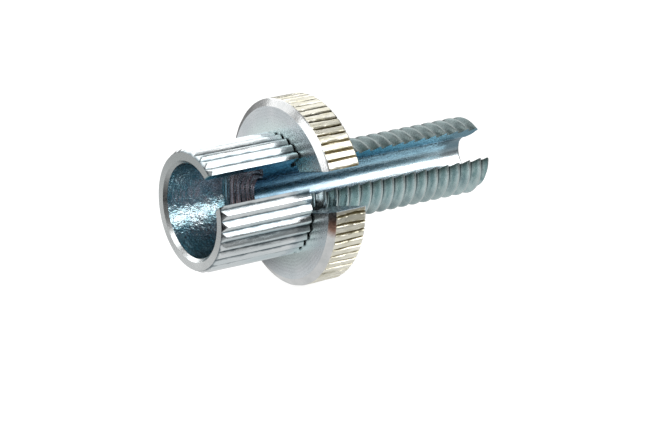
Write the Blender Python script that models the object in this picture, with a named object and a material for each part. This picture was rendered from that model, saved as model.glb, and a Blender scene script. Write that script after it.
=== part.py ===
"""Slotted cable adjuster: a hollow adjusting screw with a knurled cup head, and a knurled lock nut.

Frame: +X runs along the screw from the cup's mouth to the threaded end, +Z is up.
The origin is on the screw's axis, in the plane of the nut's rear face, which meets the lever.
"""
import math

import bmesh
import bpy

MM = 0.001

# Driving dimensions of the screw
TOTAL_LENGTH = 25.0 * MM
HEAD_LENGTH = 7.5 * MM
HEAD_CREST_RADIUS = 4.57 * MM
HEAD_ROOT_RADIUS = 4.33 * MM
HEAD_CHAMFER_LENGTH = 0.4 * MM
HEAD_TEETH = 33
CUP_RADIUS = 3.5 * MM
CUP_DEPTH = 5.0 * MM
MOUTH_CHAMFER = 0.24 * MM
BORE_RADIUS = 1.3 * MM
DRILL_POINT_SLOPE = math.tan(math.radians(31.0))
SLOT_WIDTH = 2.38 * MM
SLOT_ANGLE = math.radians(35.5)

# M6 x 1 right-hand thread; the phase is how far a crest at +Y lies behind the mouth, in turns
THREAD_PITCH = 1.0 * MM
THREAD_CREST_WIDTH = THREAD_PITCH / 8
THREAD_FLANK_SLOPE = math.tan(math.radians(30.0))
THREAD_CREST_RADIUS = 2.93 * MM
THREAD_ROOT_RADIUS = 2.40 * MM
THREAD_PHASE = 0.33
END_CHAMFER = 0.62 * MM
END_COUNTERSINK = 0.25 * MM

# Driving dimensions of the lock nut
NUT_GAP = 0.2 * MM
NUT_THICKNESS = 2.95 * MM
NUT_CREST_RADIUS = 7.0 * MM
NUT_ROOT_RADIUS = 6.74 * MM
NUT_FACE_RADIUS = 6.43 * MM
NUT_TEETH = 64
NUT_FRONT_CHAMFER = 0.35 * MM
NUT_RUN_OUT = 0.22 * MM
NUT_REAR_CHAMFER = 0.14 * MM
NUT_SLOT_WIDTH = 2.95 * MM
NUT_SLOT_ANGLE = math.radians(15.6)
RUNNING_CLEARANCE = 0.06 * MM
NUT_THREAD_DEPTH = 0.45 * MM
NUT_COUNTERSINK = 0.55 * MM
COUNTERSINK_OVERLAP = 0.14 * MM

# Facets round a full turn
THREAD_SEGMENTS = 36
TURNED_SEGMENTS = 48

# Stations along the axis, measured from the nut's rear face
NUT_REAR_X = 0.0
NUT_FRONT_X = NUT_REAR_X - NUT_THICKNESS
HEAD_END_X = NUT_FRONT_X - NUT_GAP
MOUTH_X = HEAD_END_X - HEAD_LENGTH
END_X = MOUTH_X + TOTAL_LENGTH

# How far a tool body runs past the surface that it cuts
OVERSHOOT = 1.0 * MM


def clear_scene():
    """Remove whatever the file holds, so that only this part is left."""
    for item in list(bpy.data.objects):
        bpy.data.objects.remove(item, do_unlink=True)


def make_material(name, colour, roughness, metallic):
    """Return a plain Principled material."""
    material = bpy.data.materials.new(name)
    material.use_nodes = True
    shader = material.node_tree.nodes["Principled BSDF"]
    shader.inputs["Base Color"].default_value = (*colour, 1.0)
    shader.inputs["Roughness"].default_value = roughness
    shader.inputs["Metallic"].default_value = metallic
    return material


def add_object(name, mesh_source, material=None):
    """Turn a bmesh into an object with outward faces."""
    mesh_source.normal_update()
    bmesh.ops.recalc_face_normals(mesh_source, faces=mesh_source.faces)
    mesh = bpy.data.meshes.new(name)
    mesh_source.to_mesh(mesh)
    mesh_source.free()
    item = bpy.data.objects.new(name, mesh)
    bpy.context.collection.objects.link(item)
    if material:
        mesh.materials.append(material)
    return item


def mark_as_cutter(item):
    """Keep a tool body out of the finished part."""
    item.hide_render = True
    item.display_type = "WIRE"
    return item


def add_boolean(target, tool, operation):
    """Combine a tool body with the target."""
    modifier = target.modifiers.new(tool.name, "BOOLEAN")
    modifier.object = tool
    modifier.operation = operation
    modifier.solver = "EXACT"


def ring_points(mesh_source, x, radii):
    """Add one ring of points round the X axis, with a radius for each point."""
    count = len(radii)
    points = []
    for index, radius in enumerate(radii):
        angle = 2 * math.pi * index / count
        points.append(mesh_source.verts.new((x, radius * math.cos(angle), radius * math.sin(angle))))
    return points


def skin_rings(mesh_source, rings):
    """Join rings of equal count with faces, and close both ends."""
    count = len(rings[0])
    for near, far in zip(rings, rings[1:]):
        for index in range(count):
            after = (index + 1) % count
            mesh_source.faces.new((near[index], near[after], far[after], far[index]))
    mesh_source.faces.new(rings[0])
    mesh_source.faces.new(rings[-1])


def turned_solid(name, profile, segments, material=None):
    """Turn an outline of (x, radius) pairs round the X axis."""
    mesh_source = bmesh.new()
    rings = [ring_points(mesh_source, x, [radius] * segments) for x, radius in profile]
    skin_rings(mesh_source, rings)
    return add_object(name, mesh_source, material)


def threaded_solid(name, start, end, root_radius, crest_radius):
    """A right-hand 60 degree helical ridge on a round core, longer than needed at both ends."""
    flank = (crest_radius - root_radius) * THREAD_FLANK_SLOPE
    steps = (
        (0.0, crest_radius),
        (THREAD_CREST_WIDTH, crest_radius),
        (THREAD_CREST_WIDTH + flank, root_radius),
        (THREAD_PITCH - flank, root_radius),
    )
    first_turn = math.floor((start - MOUTH_X) / THREAD_PITCH) - 2
    last_turn = math.ceil((end - MOUTH_X) / THREAD_PITCH) + 1
    origin = MOUTH_X + THREAD_PHASE * THREAD_PITCH - THREAD_CREST_WIDTH / 2
    mesh_source = bmesh.new()
    columns = []
    for segment in range(THREAD_SEGMENTS):
        share = segment / THREAD_SEGMENTS
        angle = 2 * math.pi * share
        column = []
        for turn in range(first_turn, last_turn):
            for offset, radius in steps:
                x = origin + (turn + share) * THREAD_PITCH + offset
                point = (x, radius * math.cos(angle), radius * math.sin(angle))
                column.append(mesh_source.verts.new(point))
        columns.append(column)
    skin_helix(mesh_source, columns, len(steps))
    return add_object(name, mesh_source)


def skin_helix(mesh_source, columns, shift):
    """Face the helical grid, where a full turn lands `shift` rows further on, and close it."""
    rows = len(columns[0])
    for near, far in zip(columns, columns[1:]):
        for row in range(rows - 1):
            mesh_source.faces.new((near[row], near[row + 1], far[row + 1], far[row]))
    first, last = columns[0], columns[-1]
    for row in range(rows - 1 - shift):
        mesh_source.faces.new((last[row], last[row + 1], first[row + 1 + shift], first[row + shift]))
    start_loop = [column[0] for column in columns] + first[shift:0:-1]
    end_loop = [column[-1] for column in columns] + last[-2:-shift - 2:-1]
    for loop in (start_loop, end_loop):
        middle_x = sum(vertex.co.x for vertex in loop) / len(loop)
        centre = mesh_source.verts.new((middle_x, 0.0, 0.0))
        for index, vertex in enumerate(loop):
            mesh_source.faces.new((vertex, loop[(index + 1) % len(loop)], centre))


def slot_cutter(name, start, end, width, depth, angle):
    """A block that cuts a slot from the axis outwards, `angle` above the -Y direction."""
    mesh_source = bmesh.new()
    bmesh.ops.create_cube(mesh_source, size=1.0)
    for vertex in mesh_source.verts:
        along, outward, across = vertex.co
        outward = (outward + 0.5) * depth
        across = across * width
        vertex.co = (
            start + (along + 0.5) * (end - start),
            -outward * math.cos(angle) + across * math.sin(angle),
            outward * math.sin(angle) + across * math.cos(angle),
        )
    return mark_as_cutter(add_object(name, mesh_source))


def make_head():
    """The cup head's outside: V-shaped teeth whose front ends are chamfered."""
    tooth_radii = [HEAD_CREST_RADIUS, HEAD_ROOT_RADIUS] * HEAD_TEETH
    round_radii = [HEAD_ROOT_RADIUS] * len(tooth_radii)
    mesh_source = bmesh.new()
    rings = [
        ring_points(mesh_source, MOUTH_X, round_radii),
        ring_points(mesh_source, MOUTH_X + HEAD_CHAMFER_LENGTH, tooth_radii),
        ring_points(mesh_source, HEAD_END_X, tooth_radii),
    ]
    skin_rings(mesh_source, rings)
    return mark_as_cutter(add_object("head_blank", mesh_source))


def make_shank_envelope():
    """The space that the thread is trimmed to, with the chamfered end."""
    outside = THREAD_CREST_RADIUS + OVERSHOOT
    chamfered = THREAD_CREST_RADIUS - END_CHAMFER
    profile = (
        (HEAD_END_X - OVERSHOOT / 2, outside),
        (END_X - (outside - chamfered), outside),
        (END_X, chamfered),
    )
    return mark_as_cutter(turned_solid("shank_envelope", profile, TURNED_SEGMENTS))


def make_bore_cutter():
    """The cup with its mouth chamfer and drilled cone, and the cable bore behind it."""
    cone_length = (CUP_RADIUS - BORE_RADIUS) * DRILL_POINT_SLOPE
    profile = (
        (MOUTH_X - OVERSHOOT, CUP_RADIUS + MOUTH_CHAMFER + OVERSHOOT),
        (MOUTH_X + MOUTH_CHAMFER, CUP_RADIUS),
        (MOUTH_X + CUP_DEPTH, CUP_RADIUS),
        (MOUTH_X + CUP_DEPTH + cone_length, BORE_RADIUS),
        (END_X - END_COUNTERSINK, BORE_RADIUS),
        (END_X + OVERSHOOT, BORE_RADIUS + END_COUNTERSINK + OVERSHOOT),
    )
    return mark_as_cutter(turned_solid("bore_cutter", profile, TURNED_SEGMENTS))


def make_adjuster_screw(material):
    """Head and threaded shank in one piece, hollow, and slotted from end to end."""
    screw = threaded_solid(
        "adjuster_screw", HEAD_END_X, END_X, THREAD_ROOT_RADIUS, THREAD_CREST_RADIUS)
    screw.data.materials.append(material)
    slot = slot_cutter(
        "screw_slot", MOUTH_X - OVERSHOOT, END_X + OVERSHOOT, SLOT_WIDTH,
        HEAD_CREST_RADIUS + OVERSHOOT, SLOT_ANGLE)
    add_boolean(screw, make_shank_envelope(), "INTERSECT")
    add_boolean(screw, make_head(), "UNION")
    add_boolean(screw, make_bore_cutter(), "DIFFERENCE")
    add_boolean(screw, slot, "DIFFERENCE")
    return screw


def make_nut_blank(material):
    """The nut's outside: flat-topped teeth whose grooves run out behind a plain front chamfer."""
    tooth_radii = [NUT_CREST_RADIUS, NUT_CREST_RADIUS, NUT_ROOT_RADIUS] * NUT_TEETH
    face_radii = [NUT_FACE_RADIUS] * len(tooth_radii)
    plain_radii = [NUT_CREST_RADIUS] * len(tooth_radii)
    rear_radii = [radius - NUT_REAR_CHAMFER for radius in tooth_radii]
    mesh_source = bmesh.new()
    rings = [
        ring_points(mesh_source, NUT_FRONT_X, face_radii),
        ring_points(mesh_source, NUT_FRONT_X + NUT_FRONT_CHAMFER, plain_radii),
        ring_points(mesh_source, NUT_FRONT_X + NUT_FRONT_CHAMFER + NUT_RUN_OUT, tooth_radii),
        ring_points(mesh_source, NUT_REAR_X - NUT_REAR_CHAMFER, tooth_radii),
        ring_points(mesh_source, NUT_REAR_X, rear_radii),
    ]
    skin_rings(mesh_source, rings)
    return add_object("lock_nut", mesh_source, material)


def make_nut_countersinks(minor_radius):
    """The funnels that open both ends of the nut's thread."""
    wide = minor_radius + NUT_COUNTERSINK + OVERSHOOT
    narrow = minor_radius - COUNTERSINK_OVERLAP
    run = wide - narrow
    profile = (
        (NUT_FRONT_X - OVERSHOOT, wide),
        (NUT_FRONT_X - OVERSHOOT + run, narrow),
        (NUT_REAR_X + OVERSHOOT - run, narrow),
        (NUT_REAR_X + OVERSHOOT, wide),
    )
    return mark_as_cutter(turned_solid("nut_countersinks", profile, TURNED_SEGMENTS))


def make_lock_nut(material):
    """The round nut, with its internal thread and its own slot."""
    minor_radius = THREAD_CREST_RADIUS + RUNNING_CLEARANCE
    nut = make_nut_blank(material)
    thread = threaded_solid(
        "nut_thread", NUT_FRONT_X, NUT_REAR_X, minor_radius, minor_radius + NUT_THREAD_DEPTH)
    slot = slot_cutter(
        "nut_slot", NUT_FRONT_X - OVERSHOOT, NUT_REAR_X + OVERSHOOT, NUT_SLOT_WIDTH,
        NUT_CREST_RADIUS + OVERSHOOT, NUT_SLOT_ANGLE)
    add_boolean(nut, mark_as_cutter(thread), "DIFFERENCE")
    add_boolean(nut, make_nut_countersinks(minor_radius), "DIFFERENCE")
    add_boolean(nut, slot, "DIFFERENCE")
    return nut


def main():
    clear_scene()
    zinc = make_material("bright_zinc_screw", (0.62, 0.66, 0.68), 0.3, 1.0)
    warm_zinc = make_material("bright_zinc_nut", (0.72, 0.70, 0.66), 0.35, 1.0)
    make_adjuster_screw(zinc)
    make_lock_nut(warm_zinc)


main()
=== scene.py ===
"""Looks of the slotted cable adjuster: fine meshes, zinc-plated steel, a pale floor and soft studio light.

Frame: +X runs along the screw from the cup's mouth to the threaded end, +Z is up, and the origin is on
the screw's axis in the plane of the lock nut's rear face.
"""
import math

import bmesh
import bpy
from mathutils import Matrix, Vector, noise


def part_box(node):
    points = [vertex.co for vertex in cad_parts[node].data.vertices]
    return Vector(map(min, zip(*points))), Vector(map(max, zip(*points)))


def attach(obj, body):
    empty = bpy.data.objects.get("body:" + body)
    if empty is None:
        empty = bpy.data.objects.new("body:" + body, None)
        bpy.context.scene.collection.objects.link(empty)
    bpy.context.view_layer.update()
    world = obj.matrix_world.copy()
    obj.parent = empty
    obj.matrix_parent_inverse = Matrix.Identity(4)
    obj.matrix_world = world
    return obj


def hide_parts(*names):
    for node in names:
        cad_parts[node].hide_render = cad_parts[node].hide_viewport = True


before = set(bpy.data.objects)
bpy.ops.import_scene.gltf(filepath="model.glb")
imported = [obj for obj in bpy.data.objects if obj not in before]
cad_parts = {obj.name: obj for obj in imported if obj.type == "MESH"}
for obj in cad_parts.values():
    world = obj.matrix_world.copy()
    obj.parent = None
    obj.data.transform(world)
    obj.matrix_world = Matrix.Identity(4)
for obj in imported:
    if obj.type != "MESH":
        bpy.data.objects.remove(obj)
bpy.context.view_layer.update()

MM = 0.001

# The screw's sizes, as in the CAD model
HEAD_LENGTH = 7.5 * MM
HEAD_CREST_RADIUS = 4.57 * MM
HEAD_ROOT_RADIUS = 4.33 * MM
HEAD_CHAMFER_LENGTH = 0.4 * MM
HEAD_TEETH = 33
CUP_RADIUS = 3.5 * MM
CUP_DEPTH = 5.0 * MM
MOUTH_CHAMFER = 0.24 * MM
BORE_RADIUS = 1.3 * MM
CONE_LENGTH = (CUP_RADIUS - BORE_RADIUS) * math.tan(math.radians(31.0))
SLOT_WIDTH = 2.38 * MM
SLOT_ANGLE = math.radians(35.5)

# M6 x 1 right-hand thread
THREAD_PITCH = 1.0 * MM
THREAD_CREST_WIDTH = THREAD_PITCH / 8
THREAD_FLANK_SLOPE = math.tan(math.radians(30.0))
THREAD_CREST_RADIUS = 2.93 * MM
THREAD_ROOT_RADIUS = 2.40 * MM
THREAD_PHASE = 0.33
END_CHAMFER = 0.62 * MM
END_COUNTERSINK = 0.25 * MM

# The lock nut's sizes, as in the CAD model
NUT_CREST_RADIUS = 7.0 * MM
NUT_ROOT_RADIUS = 6.74 * MM
NUT_FACE_RADIUS = 6.43 * MM
NUT_TEETH = 64
NUT_FRONT_CHAMFER = 0.35 * MM
NUT_RUN_OUT = 0.22 * MM
NUT_REAR_CHAMFER = 0.14 * MM
NUT_SLOT_WIDTH = 2.95 * MM
NUT_SLOT_ANGLE = math.radians(15.6)
RUNNING_CLEARANCE = 0.06 * MM
NUT_THREAD_DEPTH = 0.45 * MM
NUT_COUNTERSINK = 0.55 * MM
COUNTERSINK_OVERLAP = 0.14 * MM

# Fineness of the meshes
HEAD_TOOTH_STEPS = 10
HEAD_RING_SPACING = 0.12 * MM
NUT_TOOTH_STEPS = 16
NUT_RING_SPACING = 0.1 * MM
CHAMFER_RINGS = 8
THREAD_SEGMENTS = 120
TURNED_SEGMENTS = 192
SMOOTH_ANGLE = math.radians(28.0)

# Wear of the crests, and the unevenness of the nut's grooves as shares of their spacing
HEAD_CREST_ROUNDING = 0.12
HEAD_WEAR = 0.03 * MM
THREAD_EASE = 0.03 * MM
THREAD_WEAR = 0.02 * MM
NUT_GROOVE_SHARE = 0.36
NUT_GROOVE_WANDER = 0.14
NUT_WEAR = 0.05 * MM

# How far a tool body runs past the surface that it cuts, and how wide its edges are broken
OVERSHOOT = 1.0 * MM
EDGE_BREAK = 0.06 * MM

# Length over which the slot's cutter changes from the head's radius to the shank's
SHORT_STEP = 0.001 * MM

# How far the detailed head reaches into the gap before the nut, so that the two look closed
HEAD_REACH = 0.08 * MM

# Which faces get a metal of their own: distances past a station, and how far a normal leans along X
STATION_MARGIN = 0.05 * MM
RIM_MARGIN = 0.01 * MM
FLAT_FACE_NORMAL = 0.99
CHAMFER_NORMAL = 0.45

# Middle of the reddish-brown stain on the nut's front chamfer, in millimetres
STAIN_PLACE = (-2.7, -6.75, -0.7)

# Where the painted shade line runs along the thread, as a share of the pitch from the start of the crest
THREAD_SHADE_LINE_PHASE = 0.51

# How far turning marks wander, in radians
RING_WOBBLE = 6.0

# A long lens from the front left and a little above; the aim is off the screw's middle
CAMERA_AZIMUTH = math.radians(-33.84)
CAMERA_ELEVATION = math.radians(18.94)
CAMERA_DISTANCE = 225.0 * MM
CAMERA_LENS = 164.4
CAMERA_SENSOR = 36.0
TARGET_FROM_MOUTH = 11.25 * MM
SHIFT_RIGHT = 1.035 * MM
SHIFT_UP = -2.808 * MM

# The floor, and the card just above it that only reflections see
FLOOR_RADIUS = 1.6
FLOOR_GREY = 0.25
FLOOR_GLOW = 0.92
CARD_LIFT = 0.01 * MM

# The card's base brightness, and its spots: centre, inner and outer radius in millimetres
CARD_LEVEL = 0.22
CARD_LIGHT_SPOTS = (
    ((-25.0, 34.0, 0.0), 16.0, 34.0, 0.5),
    ((-14.0, 5.0, 0.0), 3.0, 7.0, 0.35),
    ((-5.0, -8.0, 0.0), 9.0, 13.0, 0.45),
    ((18.0, -6.0, 0.0), 10.0, 20.0, 0.5),
)
CARD_DARK_SPOT = ((-30.0, -18.0, 0.0), 13.0, 20.0)
CARD_DARK_SHARE = 0.04

# Soft boxes: name, azimuth and elevation in degrees, edge length in metres, and surface brightness
LIGHT_DISTANCE = 0.4
SOFT_BOXES = (
    ("back_box", 168.0, 50.0, 0.55, 1.2),
    ("front_right_box", 44.0, 34.0, 0.32, 2.6),
    ("left_box", -105.0, 16.0, 0.24, 1.3),
    ("upper_left_box", -90.0, 42.0, 0.16, 2.0),
    ("back_left_box", -148.0, 22.0, 0.2, 0.8),
)

# The surround's brightness in reflections, and the azimuth and elevation of its dark side
SURROUND_LEVEL = 0.33
SURROUND_DARK_LEVEL = 0.03
DARK_SIDE = (math.radians(-30.0), math.radians(4.0))

# Stations along the axis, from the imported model
SCREW_LOW, SCREW_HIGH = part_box("adjuster_screw")
NUT_LOW, NUT_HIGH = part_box("lock_nut")
MOUTH_X = SCREW_LOW.x
END_X = SCREW_HIGH.x
HEAD_END_X = MOUTH_X + HEAD_LENGTH + HEAD_REACH
NUT_FRONT_X = NUT_LOW.x
NUT_REAR_X = NUT_HIGH.x
FLOOR_Z = NUT_LOW.z
THREAD_START_X = MOUTH_X + THREAD_PHASE * THREAD_PITCH - THREAD_CREST_WIDTH / 2


# ---------------------------------------------------------------- shader helpers

def add_node(tree, kind, inputs=None, **settings):
    """Add a shader node; an input is a number, a colour or the output socket that feeds it."""
    made = tree.nodes.new(kind)
    for name, value in settings.items():
        setattr(made, name, value)
    for name, value in (inputs or {}).items():
        if isinstance(value, bpy.types.NodeSocket):
            tree.links.new(value, made.inputs[name])
        else:
            made.inputs[name].default_value = value
    return made


def maths(tree, operation, *values):
    """What a Math node makes of its values, which are numbers or sockets."""
    inputs = dict(enumerate(values))
    return add_node(tree, "ShaderNodeMath", inputs, operation=operation).outputs[0]


def vector_maths(tree, operation, *values):
    """The number that a Vector Math node makes of its vectors."""
    inputs = dict(enumerate(values))
    return add_node(tree, "ShaderNodeVectorMath", inputs, operation=operation).outputs["Value"]


def millimetres(tree, stretch=(1.0, 1.0, 1.0)):
    """The piece's own coordinates in millimetres, squeezed by `stretch` along X, Y and Z."""
    place = add_node(tree, "ShaderNodeTexCoord").outputs["Object"]
    scale = tuple(factor / MM for factor in stretch)
    return add_node(tree, "ShaderNodeMapping", {"Vector": place, "Scale": scale}).outputs["Vector"]


def coordinate(tree, letter):
    """The piece's own X, Y or Z coordinate, in millimetres."""
    return add_node(tree, "ShaderNodeSeparateXYZ", {"Vector": millimetres(tree)}).outputs[letter]


def along_axis(tree):
    """Distance along the screw's axis, in millimetres."""
    return coordinate(tree, "X")


def height_above_axis(tree):
    """Height above the screw's axis, in millimetres."""
    return coordinate(tree, "Z")


def axis_radius(tree):
    """Distance from the screw's axis, in millimetres."""
    flat = {"Y": coordinate(tree, "Y"), "Z": coordinate(tree, "Z")}
    return vector_maths(tree, "LENGTH", add_node(tree, "ShaderNodeCombineXYZ", flat).outputs[0])


def noise_at(tree, per_mm, stretch=(1.0, 1.0, 1.0), detail=3.0):
    """Noise with about `per_mm` features in a millimetre."""
    inputs = {"Vector": millimetres(tree, stretch), "Scale": per_mm, "Detail": detail}
    return add_node(tree, "ShaderNodeTexNoise", inputs).outputs["Fac"]


def ramp(tree, factor, low, high, start, end):
    """Map `factor` from low..high to start..end, clamped."""
    inputs = {"Value": factor, "From Min": low, "From Max": high, "To Min": start, "To Max": end}
    return add_node(tree, "ShaderNodeMapRange", inputs).outputs["Result"]


def spot(tree, centre_mm, inner_mm, outer_mm):
    """1 within `inner_mm` of a point, falling to 0 at `outer_mm`."""
    offset = vector_maths(tree, "DISTANCE", millimetres(tree), centre_mm)
    return ramp(tree, offset, inner_mm, outer_mm, 1.0, 0.0)


def thread_phase(tree):
    """Share of a pitch from the start of the crest, at each point of the thread."""
    angle = maths(tree, "ARCTAN2", coordinate(tree, "Z"), coordinate(tree, "Y"))
    start = -THREAD_START_X / THREAD_PITCH
    pitches = maths(tree, "MULTIPLY_ADD", coordinate(tree, "X"), MM / THREAD_PITCH, start)
    unrolled = maths(tree, "MULTIPLY_ADD", angle, -0.5 / math.pi, pitches)
    return maths(tree, "FRACT", unrolled)


def distance_towards(tree, way):
    """Distance from the origin towards a unit vector, in millimetres."""
    return vector_maths(tree, "DOT_PRODUCT", millimetres(tree), way)


def across_slot(tree):
    """Distance above the middle plane of the screw's slot, in millimetres."""
    return distance_towards(tree, (0.0, math.sin(SLOT_ANGLE), math.cos(SLOT_ANGLE)))


def beside_slot(tree):
    """1 at the edges of the screw's slot, falling to 0 half a millimetre away."""
    half_mm = SLOT_WIDTH / 2 / MM
    across = maths(tree, "ABSOLUTE", across_slot(tree))
    near = ramp(tree, across, half_mm, half_mm + 0.5, 1.0, 0.0)
    outward = distance_towards(tree, (0.0, -math.cos(SLOT_ANGLE), math.sin(SLOT_ANGLE)))
    in_front = ramp(tree, outward, 0.5, 1.5, 0.0, 1.0)
    return maths(tree, "MULTIPLY", near, in_front)


def turning_marks(tree, distance, per_mm, wander_per_mm):
    """Fine rings that repeat along `distance` and wander a little."""
    wobble = noise_at(tree, wander_per_mm, detail=1.0)
    turned = maths(tree, "MULTIPLY", distance, per_mm * 2 * math.pi)
    shaken = maths(tree, "MULTIPLY_ADD", wobble, RING_WOBBLE, turned)
    return maths(tree, "SINE", shaken)


def mix_colour(tree, factor, first, second):
    """Blend two colours; each is a triple or a socket."""
    made = add_node(tree, "ShaderNodeMix", data_type="RGBA")
    sockets = {"Factor": factor, "A": first, "B": second}
    for name, value in sockets.items():
        socket = [s for s in made.inputs if s.name == name and s.enabled][0]
        if isinstance(value, bpy.types.NodeSocket):
            tree.links.new(value, socket)
        elif isinstance(value, tuple):
            socket.default_value = (*value, 1.0)
        else:
            socket.default_value = value
    return [s for s in made.outputs if s.enabled][0]


def tint(tree, shader, share, colour):
    """Blend the metal's colour towards another one by `share`."""
    base_colour = shader.inputs["Base Color"]
    plain = base_colour.links[0].from_socket
    tree.links.new(mix_colour(tree, share, plain, colour), base_colour)


def roughen(tree, shader, *layers):
    """Raise the surface by each layer, a (height, depth in millimetres) pair, in turn."""
    normal = None
    for height, depth_mm in layers:
        inputs = {"Height": height, "Distance": depth_mm * MM, "Strength": 1.0}
        if normal:
            inputs["Normal"] = normal
        normal = add_node(tree, "ShaderNodeBump", inputs).outputs["Normal"]
    tree.links.new(normal, shader.inputs["Normal"])


def metal(name, light, dark, roughness, patch_per_mm=0.6, stretch=(1.0, 1.0, 1.0)):
    """Start a plated metal whose colour and roughness drift; returns the material, tree and shader."""
    material = bpy.data.materials.new(name)
    material.use_nodes = True
    tree = material.node_tree
    shader = tree.nodes["Principled BSDF"]
    patches = noise_at(tree, patch_per_mm, stretch, 4.0)
    colour = mix_colour(tree, ramp(tree, patches, 0.35, 0.68, 0.0, 1.0), light, dark)
    tree.links.new(colour, shader.inputs["Base Color"])
    grain = noise_at(tree, 6.0, stretch, 3.0)
    tree.links.new(ramp(tree, grain, 0.3, 0.7, *roughness), shader.inputs["Roughness"])
    shader.inputs["Metallic"].default_value = 1.0
    return material, tree, shader


def paint_groove_shade(tree, shader, bottom_mm, top_mm, groove_shade):
    """Paint shade into the grooves: blend the colour to the given shade colour where the surface lies
    lower than `top_mm` from the axis.
    """
    edge = noise_at(tree, 2.5, (0.5, 1.0, 1.0), 3.0)
    ragged = ramp(tree, edge, 0.3, 0.7, -0.03, 0.03)
    radius = maths(tree, "ADD", axis_radius(tree), ragged)
    tint(tree, shader, ramp(tree, radius, bottom_mm, top_mm, 1.0, 0.0), groove_shade)


# ---------------------------------------------------------------- metals of the screw

def make_head_metal():
    """The rolled knurl: bright cool zinc with fine streaks along the teeth, and painted shade in its
    grooves.
    """
    material, tree, shader = metal(
        "zinc_head", (0.86, 0.89, 0.90), (0.64, 0.74, 0.77), (0.14, 0.28), 0.5, (0.3, 1.0, 1.0))
    root_mm = HEAD_ROOT_RADIUS / MM
    # Painted shade in the roots of the knurl's teeth
    paint_groove_shade(tree, shader, root_mm + 0.015, root_mm + 0.09, (0.16, 0.20, 0.22))
    streaks = noise_at(tree, 5.0, (0.12, 1.0, 1.0), 3.0)
    pits = noise_at(tree, 4.0, (0.6, 1.0, 1.0), 4.0)
    roughen(tree, shader, (streaks, 0.010), (pits, 0.006))
    return material


def make_rim_metal():
    """The faced ring round the mouth: grey satin, darker towards its top."""
    material, tree, shader = metal(
        "zinc_rim", (0.82, 0.85, 0.85), (0.74, 0.77, 0.77), (0.22, 0.32), 0.8)
    cup_mm = CUP_RADIUS / MM
    upper = ramp(tree, height_above_axis(tree), -cup_mm, cup_mm, 0.0, 1.0)
    tint(tree, shader, upper, (0.46, 0.49, 0.49))
    roughen(tree, shader, (noise_at(tree, 7.0), 0.006))
    return material


def make_cone_metal():
    """The drilled bottom of the cup: teal at its edge, purple-brown inside, with drill marks."""
    material, tree, shader = metal(
        "zinc_cone", (0.44, 0.32, 0.34), (0.22, 0.18, 0.21), (0.18, 0.3), 1.2)
    outer = ramp(tree, axis_radius(tree), 2.9, 3.45, 0.0, 1.0)
    tint(tree, shader, outer, (0.20, 0.34, 0.40))
    rings = turning_marks(tree, axis_radius(tree), 2.6, 0.6)
    roughen(tree, shader, (rings, 0.05), (noise_at(tree, 5.0), 0.003))
    return material


def make_bore_metal():
    """The cable bore: steel-blue zinc, with painted light near the threaded end and painted shade in its
    upper half.
    """
    material, tree, shader = metal(
        "zinc_bore", (0.22, 0.34, 0.44), (0.12, 0.22, 0.30), (0.2, 0.32), 0.8, (0.3, 1.0, 1.0))
    # Painted light near the threaded end
    painted_light_near_end = ramp(tree, along_axis(tree), -2.0, 8.0, 0.0, 1.0)
    tint(tree, shader, painted_light_near_end, (0.86, 0.93, 0.95))
    # Painted shade in the bore's upper half
    upper = ramp(tree, across_slot(tree), 0.0, 1.0, 0.0, 1.0)
    tint(tree, shader, upper, (0.17, 0.26, 0.31))
    marks = noise_at(tree, 4.0, (0.25, 1.0, 1.0), 3.0)
    roughen(tree, shader, (marks, 0.012))
    return material


def make_cup_metal():
    """The drilled cup's wall: teal zinc, hammered by the drill, with turning marks."""
    material, tree, shader = metal(
        "zinc_cup", (0.84, 0.96, 1.0), (0.40, 0.70, 0.80), (0.12, 0.24), 1.2)
    rings = turning_marks(tree, along_axis(tree), 3.0, 0.8)
    speckle = noise_at(tree, 3.4, (0.9, 1.0, 1.0), 4.0)
    roughen(tree, shader, (rings, 0.002), (speckle, 0.06))
    return material


def make_slot_metal():
    """The milled slot walls: teal zinc, darkest in the middle, with saw marks and a painted highlight
    along the inner edge.
    """
    material, tree, shader = metal(
        "zinc_slot", (0.36, 0.54, 0.56), (0.14, 0.27, 0.33), (0.18, 0.3), 0.7, (0.25, 1.0, 1.0))
    shader.inputs["Specular Tint"].default_value = (0.35, 0.52, 0.62, 1.0)
    along_shank = ramp(tree, along_axis(tree), -4.0, 0.5, 0.0, 1.0)
    tint(tree, shader, along_shank, (0.12, 0.26, 0.33))
    far_end = ramp(tree, along_axis(tree), 5.0, 13.0, 0.0, 1.0)
    tint(tree, shader, far_end, (0.42, 0.54, 0.58))
    bore_mm = BORE_RADIUS / MM
    # A painted highlight along the slot wall's edge at the bore
    painted_highlight_edge = ramp(tree, axis_radius(tree), bore_mm + 0.04, bore_mm + 0.14, 1.0, 0.0)
    tint(tree, shader, painted_highlight_edge, (0.85, 0.90, 0.92))
    marks = noise_at(tree, 7.0, (0.08, 1.0, 1.0), 3.0)
    roughen(tree, shader, (marks, 0.008))
    return material


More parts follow.
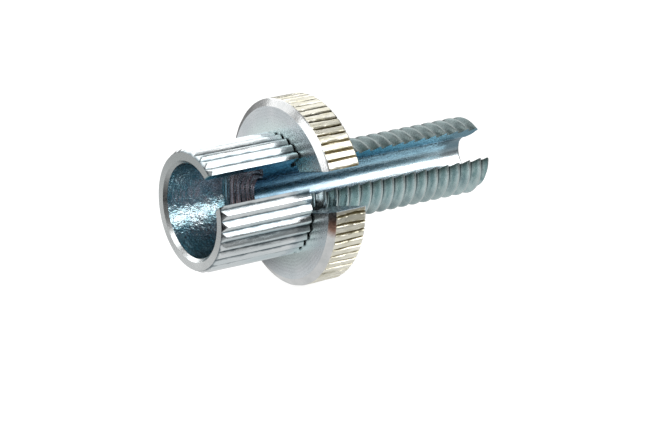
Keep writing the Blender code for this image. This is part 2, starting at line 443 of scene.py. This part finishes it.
def make_thread_metal():
    """The cut thread: grey-teal zinc, with painted shade in its roots, a painted shade line along each
    turn, painted shade on top and painted light where the nut covers it.
    """
    material, tree, shader = metal(
        "zinc_thread", (0.52, 0.65, 0.65), (0.36, 0.49, 0.51), (0.22, 0.34), 1.1)
    root_mm = THREAD_ROOT_RADIUS / MM
    # Painted shade in the thread's roots
    paint_groove_shade(tree, shader, root_mm - 0.02, root_mm + 0.06, (0.28, 0.37, 0.38))
    tint(tree, shader, ramp(tree, beside_slot(tree), 0.0, 1.0, 0.0, 0.7), (0.13, 0.19, 0.17))
    # Painted light on the thread where the nut covers it
    painted_light_under_nut = ramp(tree, along_axis(tree), -0.9, -0.3, 1.0, 0.0)
    tint(tree, shader, painted_light_under_nut, (0.95, 0.98, 0.97))
    # A painted shade line along each turn, where the next root starts
    from_shade_line = maths(tree, "SUBTRACT", thread_phase(tree), THREAD_SHADE_LINE_PHASE)
    shade_line = ramp(tree, maths(tree, "ABSOLUTE", from_shade_line), 0.04, 0.1, 1.0, 0.0)
    tint(tree, shader, shade_line, (0.03, 0.045, 0.05))
    crest_mm = THREAD_CREST_RADIUS / MM
    worn_crest = ramp(tree, axis_radius(tree), crest_mm - 0.07, crest_mm - 0.02, 0.0, 1.0)
    tint(tree, shader, worn_crest, (0.52, 0.60, 0.60))
    # Painted shade on the top of the thread
    painted_shade_on_top = ramp(tree, height_above_axis(tree), 0.6, 2.0, 0.0, 0.7)
    tint(tree, shader, painted_shade_on_top, (0.13, 0.155, 0.155))
    roughen(tree, shader, (noise_at(tree, 5.0, detail=4.0), 0.012))
    return material


# ---------------------------------------------------------------- metals of the nut

def make_nut_face_metal():
    """The nut's faces: satin, slightly blue zinc with faint turning rings, greener next to the head as a
    painted reflection of it.
    """
    material, tree, shader = metal(
        "zinc_nut_face", (0.80, 0.84, 0.87), (0.70, 0.76, 0.79), (0.2, 0.3), 0.6)
    # A painted reflection of the head on the face next to it
    painted_head_reflection = ramp(tree, axis_radius(tree), 4.8, 5.8, 0.8, 0.0)
    tint(tree, shader, painted_head_reflection, (0.86, 1.0, 0.99))
    rings = turning_marks(tree, axis_radius(tree), 4.0, 0.7)
    roughen(tree, shader, (rings, 0.001), (noise_at(tree, 8.0), 0.008))
    return material


def make_nut_chamfer_metal():
    """The nut's turned chamfers: smoother zinc, with a reddish-brown stain by the slot."""
    material, tree, shader = metal(
        "zinc_nut_chamfer", (0.82, 0.83, 0.83), (0.70, 0.72, 0.72), (0.14, 0.24), 1.2)
    tint(tree, shader, spot(tree, STAIN_PLACE, 0.35, 1.0), (0.42, 0.25, 0.19))
    roughen(tree, shader, (noise_at(tree, 6.0), 0.008))
    return material


def make_nut_knurl_metal():
    """The nut's knurl: warm, creamy zinc with olive patches, painted shade on its top, and painted shade
    in the grooves, olive-brown low down and near-black at the top.
    """
    material, tree, shader = metal(
        "zinc_nut_knurl", (0.92, 0.90, 0.80), (0.74, 0.72, 0.60), (0.24, 0.4), 0.8, (0.4, 1.0, 1.0))
    # Painted shade on the knurl's top
    painted_shade_on_top = ramp(tree, height_above_axis(tree), 4.5, 7.0, 0.0, 0.5)
    tint(tree, shader, painted_shade_on_top, (0.46, 0.45, 0.40))
    patches = noise_at(tree, 3.5, (0.25, 1.0, 1.0), 4.0)
    tint(tree, shader, ramp(tree, patches, 0.46, 0.70, 0.0, 0.7), (0.58, 0.55, 0.40))
    # Painted shade in the grooves: olive-brown low down, near-black towards the top
    upper = ramp(tree, height_above_axis(tree), 4.8, 6.6, 0.0, 1.0)
    groove_shade = mix_colour(tree, upper, (0.38, 0.34, 0.24), (0.03, 0.026, 0.016))
    crest_mm = NUT_CREST_RADIUS / MM
    paint_groove_shade(tree, shader, crest_mm - 0.15, crest_mm - 0.05, groove_shade)
    burrs = noise_at(tree, 4.5, (0.3, 1.0, 1.0), 4.0)
    roughen(tree, shader, (burrs, 0.03))
    return material


def make_nut_slot_metal():
    """The nut's sawn slot walls and thread: darker teal zinc."""
    material, tree, shader = metal(
        "zinc_nut_slot", (0.50, 0.58, 0.62), (0.34, 0.43, 0.48), (0.22, 0.36), 0.9)
    marks = noise_at(tree, 6.0, (1.0, 0.1, 1.0), 3.0)
    roughen(tree, shader, (marks, 0.01))
    return material


# ---------------------------------------------------------------- mesh tools

def add_object(name, mesh_source, material):
    """Turn a bmesh into an object with outward faces and one material."""
    mesh_source.normal_update()
    bmesh.ops.recalc_face_normals(mesh_source, faces=mesh_source.faces)
    mesh = bpy.data.meshes.new(name)
    mesh_source.to_mesh(mesh)
    mesh_source.free()
    mesh.materials.append(material)
    item = bpy.data.objects.new(name, mesh)
    bpy.context.scene.collection.objects.link(item)
    return item


def skin_rings(mesh_source, rings):
    """Join rings of equal count with faces, and close both ends."""
    count = len(rings[0])
    for near, far in zip(rings, rings[1:]):
        for index in range(count):
            after = (index + 1) % count
            mesh_source.faces.new((near[index], near[after], far[after], far[index]))
    mesh_source.faces.new(rings[0])
    mesh_source.faces.new(rings[-1])


def lofted_solid(name, stations, radius_at, segments, material):
    """Skin rings round the X axis, where `radius_at(x, turn)` gives the radius at a share of a turn."""
    mesh_source = bmesh.new()
    rings = []
    for x in stations:
        ring = []
        for index in range(segments):
            turn = index / segments
            radius = radius_at(x, turn)
            angle = 2 * math.pi * turn
            ring.append(mesh_source.verts.new((x, radius * math.cos(angle), radius * math.sin(angle))))
        rings.append(ring)
    skin_rings(mesh_source, rings)
    return add_object(name, mesh_source, material)


def turned_solid(name, profile, segments, material):
    """Turn an outline of (x, radius) pairs round the X axis."""
    radii = dict(profile)
    return lofted_solid(name, list(radii), lambda x, turn: radii[x], segments, material)


def spaced(start, end, spacing):
    """Values from start to end, evenly spaced and about `spacing` apart."""
    count = max(1, round((end - start) / spacing))
    return [start + (end - start) * index / count for index in range(count + 1)]


def rounded_tooth(phase, rounding):
    """Height, 0 to 1, of a V-shaped tooth with a rounded crest in the middle of the phase."""
    flat = math.hypot(1.0, rounding)
    return (flat - math.hypot(2 * phase - 1, rounding)) / (flat - rounding)


def groove_tooth(phase, width):
    """Height, 0 to 1, of a flat-topped tooth with a V-shaped groove of the given share at its edge."""
    from_edge = min(phase, 1 - phase)
    return min(1.0, from_edge / (width / 2))


def wander(x, turn, radius, along, seed):
    """A smooth value from -1 to 1 that varies over the surface, stretched along X."""
    angle = 2 * math.pi * turn
    place = (x / MM * along, radius * math.cos(angle) / MM, radius * math.sin(angle) / MM + seed)
    return noise.noise(Vector(place))


def cut(target, tool, operation):
    """Combine a tool body with the target, keeping the tool's material on the cut faces."""
    modifier = target.modifiers.new(tool.name, "BOOLEAN")
    modifier.object = tool
    modifier.operation = operation
    modifier.solver = "EXACT"
    modifier.material_mode = "TRANSFER"


def settle(name, target, tools):
    """Apply the target's modifiers, remove the tool bodies and shade the result."""
    graph = bpy.context.evaluated_depsgraph_get()
    mesh = bpy.data.meshes.new_from_object(target.evaluated_get(graph))
    mesh.name = name
    for item in [target, *tools]:
        bpy.data.objects.remove(item, do_unlink=True)
    mesh.shade_smooth()
    mesh.set_sharp_from_angle(angle=SMOOTH_ANGLE)
    piece = bpy.data.objects.new(name, mesh)
    bpy.context.scene.collection.objects.link(piece)
    return piece


def repaint(piece, metal_name, new_metal, where):
    """Give the new metal to those faces of the old one that `where` picks."""
    mesh = piece.data
    old_index = [slot.name for slot in mesh.materials].index(metal_name)
    mesh.materials.append(new_metal)
    new_index = len(mesh.materials) - 1
    for polygon in mesh.polygons:
        if polygon.material_index == old_index and where(polygon):
            polygon.material_index = new_index


# ---------------------------------------------------------------- threads and slots

def thread_steps(root_radius, crest_radius):
    """One pitch of the 60 degree thread, as (offset, radius) pairs with eased corners."""
    depth = crest_radius - root_radius
    flank = depth * THREAD_FLANK_SLOPE
    lip = THREAD_EASE * THREAD_FLANK_SLOPE
    dip = THREAD_EASE / 2
    fall = THREAD_CREST_WIDTH
    rise = THREAD_PITCH - flank
    return (
        (THREAD_EASE, crest_radius),
        (fall - THREAD_EASE, crest_radius),
        (fall, crest_radius - dip),
        (fall + lip + flank * 0.2, crest_radius - dip - depth * 0.2),
        (fall + flank * 0.6, crest_radius - depth * 0.6),
        (fall + flank - lip, root_radius + THREAD_EASE),
        (fall + flank + THREAD_EASE, root_radius),
        (rise - THREAD_EASE, root_radius),
        (rise + lip, root_radius + THREAD_EASE),
        (rise + flank * 0.4, root_radius + depth * 0.4),
        (rise + flank * 0.8 - lip, root_radius + depth * 0.8 - dip),
        (THREAD_PITCH, crest_radius - dip),
    )


def threaded_solid(name, start, end, root_radius, crest_radius, material, seed):
    """A right-hand helical ridge on a round core, slightly uneven as a cut thread is."""
    steps = thread_steps(root_radius, crest_radius)
    first_turn = math.floor((start - MOUTH_X) / THREAD_PITCH) - 2
    last_turn = math.ceil((end - MOUTH_X) / THREAD_PITCH) + 1
    mesh_source = bmesh.new()
    columns = []
    for segment in range(THREAD_SEGMENTS):
        share = segment / THREAD_SEGMENTS
        angle = 2 * math.pi * share
        column = []
        for turn in range(first_turn, last_turn):
            for offset, radius in steps:
                x = THREAD_START_X + (turn + share) * THREAD_PITCH + offset
                uneven = radius - THREAD_WEAR * (0.5 + 0.5 * wander(x, share, radius, 2.0, seed))
                place = (x, uneven * math.cos(angle), uneven * math.sin(angle))
                column.append(mesh_source.verts.new(place))
        columns.append(column)
    skin_helix(mesh_source, columns, len(steps))
    return add_object(name, mesh_source, material)


def skin_helix(mesh_source, columns, shift):
    """Face the helical grid, where a full turn lands `shift` rows further on, and close it."""
    rows = len(columns[0])
    for near, far in zip(columns, columns[1:]):
        for row in range(rows - 1):
            mesh_source.faces.new((near[row], near[row + 1], far[row + 1], far[row]))
    first, last = columns[0], columns[-1]
    for row in range(rows - 1 - shift):
        mesh_source.faces.new((last[row], last[row + 1], first[row + 1 + shift], first[row + shift]))
    start_loop = [column[0] for column in columns] + first[shift:0:-1]
    end_loop = [column[-1] for column in columns] + last[-2:-shift - 2:-1]
    for loop in (start_loop, end_loop):
        middle_x = sum(vertex.co.x for vertex in loop) / len(loop)
        centre = mesh_source.verts.new((middle_x, 0.0, 0.0))
        for index, vertex in enumerate(loop):
            mesh_source.faces.new((vertex, loop[(index + 1) % len(loop)], centre))


def slot_section(half_width, lip):
    """A slot's cross-section as (outward, across) pairs, flared from `lip` outwards."""
    flare = 3 * OVERSHOOT
    return (
        (0.0, -half_width),
        (lip, -half_width),
        (lip + flare, -half_width - flare),
        (lip + flare, half_width + flare),
        (lip, half_width),
        (0.0, half_width),
    )


def lip_radius(outer_radius, half_width, edge_break):
    """How far out a slot's wall runs before its edge is broken."""
    return math.sqrt(outer_radius ** 2 - half_width ** 2) - edge_break


def slot_cutter(name, sections, angle, material):
    """Skin slot cross-sections, each with its station, into a body that opens `angle` above -Y."""
    mesh_source = bmesh.new()
    rings = []
    for x, section in sections:
        ring = []
        for outward, across in section:
            y = -outward * math.cos(angle) + across * math.sin(angle)
            z = outward * math.sin(angle) + across * math.cos(angle)
            ring.append(mesh_source.verts.new((x, y, z)))
        rings.append(ring)
    skin_rings(mesh_source, rings)
    return add_object(name, mesh_source, material)


# ---------------------------------------------------------------- the adjusting screw

def head_radius(x, turn):
    """Outside of the knurled head: V-shaped teeth that a front chamfer cuts off."""
    phase = (turn * HEAD_TEETH) % 1.0
    height = rounded_tooth(phase, HEAD_CREST_ROUNDING)
    wear = 0.5 + 0.5 * wander(x, turn, HEAD_CREST_RADIUS, 0.35, 0.0)
    crest = HEAD_CREST_RADIUS - HEAD_WEAR * wear
    toothed = HEAD_ROOT_RADIUS + (crest - HEAD_ROOT_RADIUS) * height
    slope = (HEAD_CREST_RADIUS - HEAD_ROOT_RADIUS) / HEAD_CHAMFER_LENGTH
    return min(toothed, HEAD_ROOT_RADIUS + (x - MOUTH_X) * slope)


def make_head(material):
    """The knurled head's outside."""
    chamfer_end = MOUTH_X + HEAD_CHAMFER_LENGTH
    stations = spaced(MOUTH_X, chamfer_end, HEAD_CHAMFER_LENGTH / CHAMFER_RINGS)
    stations += spaced(chamfer_end, HEAD_END_X, HEAD_RING_SPACING)[1:]
    return lofted_solid("head", stations, head_radius, HEAD_TEETH * HEAD_TOOTH_STEPS, material)


def make_shank_envelope(material):
    """The space that the thread is trimmed to, with the chamfered end."""
    outside = THREAD_CREST_RADIUS + OVERSHOOT
    chamfered = THREAD_CREST_RADIUS - END_CHAMFER
    profile = (
        (HEAD_END_X - OVERSHOOT / 2, outside),
        (END_X - (outside - chamfered), outside),
        (END_X, chamfered),
    )
    return turned_solid("shank_envelope", profile, TURNED_SEGMENTS, material)


def make_bore_cutter(material):
    """The cup with its mouth chamfer and drilled cone, and the cable bore behind it."""
    profile = (
        (MOUTH_X - OVERSHOOT, CUP_RADIUS + MOUTH_CHAMFER + OVERSHOOT),
        (MOUTH_X + MOUTH_CHAMFER, CUP_RADIUS),
        (MOUTH_X + CUP_DEPTH, CUP_RADIUS),
        (MOUTH_X + CUP_DEPTH + CONE_LENGTH, BORE_RADIUS),
        (END_X - END_COUNTERSINK, BORE_RADIUS),
        (END_X + OVERSHOOT, BORE_RADIUS + END_COUNTERSINK + OVERSHOOT),
    )
    return turned_solid("bore_cutter", profile, TURNED_SEGMENTS, material)


def make_screw_slot(material):
    """The slot through one wall of head and shank, with broken edges."""
    half = SLOT_WIDTH / 2
    head_lip = lip_radius(HEAD_CREST_RADIUS, half, EDGE_BREAK)
    shank_lip = lip_radius(THREAD_CREST_RADIUS, half, EDGE_BREAK / 4)
    sections = (
        (MOUTH_X - OVERSHOOT, slot_section(half + OVERSHOOT + EDGE_BREAK, head_lip)),
        (MOUTH_X + EDGE_BREAK, slot_section(half, head_lip)),
        (HEAD_END_X, slot_section(half, head_lip)),
        (HEAD_END_X + SHORT_STEP, slot_section(half, shank_lip)),
        (END_X + OVERSHOOT, slot_section(half, shank_lip)),
    )
    return slot_cutter("screw_slot", sections, SLOT_ANGLE, material)


def make_screw_piece():
    """Head and threaded shank in one piece, hollow, and slotted from end to end."""
    head_metal = make_head_metal()
    thread_metal = make_thread_metal()
    cup_metal = make_cup_metal()
    screw = threaded_solid(
        "screw_core", HEAD_END_X, END_X, THREAD_ROOT_RADIUS, THREAD_CREST_RADIUS, thread_metal, 3.0)
    envelope = make_shank_envelope(thread_metal)
    head = make_head(head_metal)
    bore = make_bore_cutter(cup_metal)
    slot = make_screw_slot(make_slot_metal())
    cut(screw, envelope, "INTERSECT")
    cut(screw, head, "UNION")
    cut(screw, bore, "DIFFERENCE")
    cut(screw, slot, "DIFFERENCE")
    piece = settle("adjuster_screw_detail", screw, [envelope, head, bore, slot])
    bore_start = MOUTH_X + CUP_DEPTH + CONE_LENGTH - STATION_MARGIN
    cone_start = MOUTH_X + CUP_DEPTH + STATION_MARGIN
    rim_end = MOUTH_X + RIM_MARGIN
    mouth_end = MOUTH_X + MOUTH_CHAMFER
    repaint(piece, "zinc_cup", make_bore_metal(), lambda face: face.center.x > bore_start)
    repaint(piece, "zinc_cup", make_cone_metal(), lambda face: face.center.x > cone_start)
    rim_metal = make_rim_metal()
    repaint(piece, "zinc_head", rim_metal, lambda face: face.center.x < rim_end)
    repaint(piece, "zinc_cup", rim_metal, lambda face: face.center.x < mouth_end)
    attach(piece, "adjuster")
    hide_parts("adjuster_screw")
    return piece


# ---------------------------------------------------------------- the lock nut

def nut_radius(x, turn):
    """Outside of the nut: flat-topped, slightly uneven teeth between two chamfers."""
    phase = (turn * NUT_TEETH) % 1.0
    shifted = phase + NUT_GROOVE_WANDER * wander(x, turn, NUT_CREST_RADIUS, 0.5, 7.0)
    height = groove_tooth(min(max(shifted, 0.0), 1.0), NUT_GROOVE_SHARE)
    wear = 0.5 + 0.5 * wander(x, turn, NUT_CREST_RADIUS, 0.5, 11.0)
    crest = NUT_CREST_RADIUS - NUT_WEAR * wear
    started = min(1.0, max(0.0, (x - NUT_FRONT_X - NUT_FRONT_CHAMFER) / NUT_RUN_OUT))
    depth = (NUT_CREST_RADIUS - NUT_ROOT_RADIUS) * started
    toothed = crest - depth * (1 - height)
    front_slope = (NUT_CREST_RADIUS - NUT_FACE_RADIUS) / NUT_FRONT_CHAMFER
    front_limit = NUT_FACE_RADIUS + (x - NUT_FRONT_X) * front_slope
    rear_limit = NUT_CREST_RADIUS - NUT_REAR_CHAMFER + (NUT_REAR_X - x)
    return min(toothed, front_limit, rear_limit)


def make_nut_blank(material):
    """The knurled disc that the nut is cut from."""
    front_end = NUT_FRONT_X + NUT_FRONT_CHAMFER
    rear_start = NUT_REAR_X - NUT_REAR_CHAMFER
    stations = spaced(NUT_FRONT_X, front_end, NUT_FRONT_CHAMFER / CHAMFER_RINGS)
    stations += spaced(front_end, rear_start, NUT_RING_SPACING)[1:]
    stations += spaced(rear_start, NUT_REAR_X, NUT_REAR_CHAMFER / 3)[1:]
    return lofted_solid("nut_core", stations, nut_radius, NUT_TEETH * NUT_TOOTH_STEPS, material)


def make_nut_countersinks(minor_radius, material):
    """The funnels that open both ends of the nut's thread."""
    wide = minor_radius + NUT_COUNTERSINK + OVERSHOOT
    narrow = minor_radius - COUNTERSINK_OVERLAP
    run = wide - narrow
    profile = (
        (NUT_FRONT_X - OVERSHOOT, wide),
        (NUT_FRONT_X - OVERSHOOT + run, narrow),
        (NUT_REAR_X + OVERSHOOT - run, narrow),
        (NUT_REAR_X + OVERSHOOT, wide),
    )
    return turned_solid("nut_countersinks", profile, TURNED_SEGMENTS, material)


def make_nut_slot(material):
    """The slot through one side of the nut, with broken edges."""
    half = NUT_SLOT_WIDTH / 2
    lip = lip_radius(NUT_CREST_RADIUS, half, EDGE_BREAK)
    sections = (
        (NUT_FRONT_X - OVERSHOOT, slot_section(half + OVERSHOOT + EDGE_BREAK, lip)),
        (NUT_FRONT_X + EDGE_BREAK, slot_section(half, lip)),
        (NUT_REAR_X - EDGE_BREAK, slot_section(half, lip)),
        (NUT_REAR_X + OVERSHOOT, slot_section(half + OVERSHOOT + EDGE_BREAK, lip)),
    )
    return slot_cutter("nut_slot", sections, NUT_SLOT_ANGLE, material)


def make_nut_piece():
    """The knurled lock nut with its internal thread and slot."""
    minor_radius = THREAD_CREST_RADIUS + RUNNING_CLEARANCE
    slot_metal = make_nut_slot_metal()
    nut = make_nut_blank(make_nut_knurl_metal())
    thread = threaded_solid(
        "nut_thread", NUT_FRONT_X, NUT_REAR_X, minor_radius + THREAD_WEAR,
        minor_radius + NUT_THREAD_DEPTH, slot_metal, 5.0)
    countersinks = make_nut_countersinks(minor_radius, slot_metal)
    slot = make_nut_slot(slot_metal)
    cut(nut, thread, "DIFFERENCE")
    cut(nut, countersinks, "DIFFERENCE")
    cut(nut, slot, "DIFFERENCE")
    piece = settle("lock_nut_detail", nut, [thread, countersinks, slot])
    face_metal = make_nut_face_metal()
    chamfer_metal = make_nut_chamfer_metal()
    repaint(piece, "zinc_nut_knurl", face_metal, lambda face: abs(face.normal.x) > FLAT_FACE_NORMAL)
    repaint(piece, "zinc_nut_knurl", chamfer_metal, lambda face: abs(face.normal.x) > CHAMFER_NORMAL)
    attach(piece, "nut")
    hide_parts("lock_nut")
    return piece


# ---------------------------------------------------------------- camera, floor and light

def direction(azimuth, elevation):
    """Unit vector towards that azimuth and elevation; azimuth 0 is -Y."""
    flat = math.cos(elevation)
    return Vector((math.sin(azimuth) * flat, -math.cos(azimuth) * flat, math.sin(elevation)))


def make_camera():
    """A long lens from the front left, a little above the object."""
    data = bpy.data.cameras.new("camera")
    data.lens = CAMERA_LENS
    data.sensor_width = CAMERA_SENSOR
    data.clip_start = 10 * MM
    data.clip_end = 10.0
    camera = bpy.data.objects.new("camera", data)
    bpy.context.scene.collection.objects.link(camera)
    back = direction(CAMERA_AZIMUTH, CAMERA_ELEVATION)
    right = (-back).cross(Vector((0.0, 0.0, 1.0))).normalized()
    up = right.cross(-back)
    target = Vector((MOUTH_X + TARGET_FROM_MOUTH, 0.0, 0.0))
    camera.location = target + back * CAMERA_DISTANCE + right * SHIFT_RIGHT + up * SHIFT_UP
    camera.rotation_mode = "QUATERNION"
    camera.rotation_quaternion = (-back).to_track_quat("-Z", "Y")
    bpy.context.scene.camera = camera


def add_disc(name, height):
    """A wide flat disc under the object; returns it and its material's tree."""
    mesh_source = bmesh.new()
    bmesh.ops.create_circle(mesh_source, cap_ends=True, segments=96, radius=FLOOR_RADIUS)
    material = bpy.data.materials.new(name)
    material.use_nodes = True
    disc = add_object(name, mesh_source, material)
    disc.location.z = height
    return disc, material.node_tree


def make_floor():
    """A wide near-white table top under the nut, lit from within so that shadows stay faint."""
    floor, tree = add_disc("floor", FLOOR_Z)
    shader = tree.nodes["Principled BSDF"]
    shader.inputs["Base Color"].default_value = (FLOOR_GREY, FLOOR_GREY, FLOOR_GREY, 1.0)
    shader.inputs["Roughness"].default_value = 1.0
    shader.inputs["Specular IOR Level"].default_value = 0.0
    shader.inputs["Emission Color"].default_value = (1.0, 1.0, 1.0, 1.0)
    shader.inputs["Emission Strength"].default_value = FLOOR_GLOW
    floor.visible_glossy = False


def make_reflection_card():
    """What the metal sees in place of the white floor: grey, with light spots and one dark one."""
    card, tree = add_disc("reflection_card", FLOOR_Z + CARD_LIFT)
    tree.nodes.remove(tree.nodes["Principled BSDF"])
    level = CARD_LEVEL
    for centre, inner, outer, extra in CARD_LIGHT_SPOTS:
        level = maths(tree, "MULTIPLY_ADD", spot(tree, centre, inner, outer), extra, level)
    shade = ramp(tree, spot(tree, *CARD_DARK_SPOT), 0.0, 1.0, 1.0, CARD_DARK_SHARE)
    glow = add_node(tree, "ShaderNodeEmission", {"Strength": maths(tree, "MULTIPLY", level, shade)})
    tree.links.new(glow.outputs[0], tree.nodes["Material Output"].inputs["Surface"])
    card.visible_camera = False
    card.visible_diffuse = False
    card.visible_shadow = False


def make_light(name, azimuth, elevation, size, radiance):
    """A square soft box that faces the nut."""
    data = bpy.data.lights.new(name, "AREA")
    data.shape = "SQUARE"
    data.size = size
    data.energy = radiance * math.pi * size ** 2
    light = bpy.data.objects.new(name, data)
    bpy.context.scene.collection.objects.link(light)
    towards = direction(math.radians(azimuth), math.radians(elevation))
    light.location = towards * LIGHT_DISTANCE
    light.rotation_mode = "QUATERNION"
    light.rotation_quaternion = (-towards).to_track_quat("-Z", "Y")


def make_world():
    """A white surround that reflections see as grey, and as nearly black to the front left."""
    world = bpy.data.worlds.new("surround")
    bpy.context.scene.world = world
    world.use_nodes = True
    tree = world.node_tree
    place = add_node(tree, "ShaderNodeTexCoord").outputs["Generated"]
    towards = vector_maths(tree, "DOT_PRODUCT", place, direction(*DARK_SIDE))
    reflected = ramp(tree, towards, 0.75, 0.92, SURROUND_LEVEL, SURROUND_DARK_LEVEL)
    seen = add_node(tree, "ShaderNodeLightPath").outputs["Is Camera Ray"]
    background = tree.nodes["Background"]
    background.inputs["Color"].default_value = (1.0, 1.0, 1.0, 1.0)
    tree.links.new(ramp(tree, seen, 0.0, 1.0, reflected, 1.0), background.inputs["Strength"])


bpy.context.scene.view_settings.view_transform = "Standard"
make_camera()
make_floor()
make_reflection_card()
make_world()
for soft_box in SOFT_BOXES:
    make_light(*soft_box)
make_screw_piece()
make_nut_piece()

bpy.context.view_layer.update()
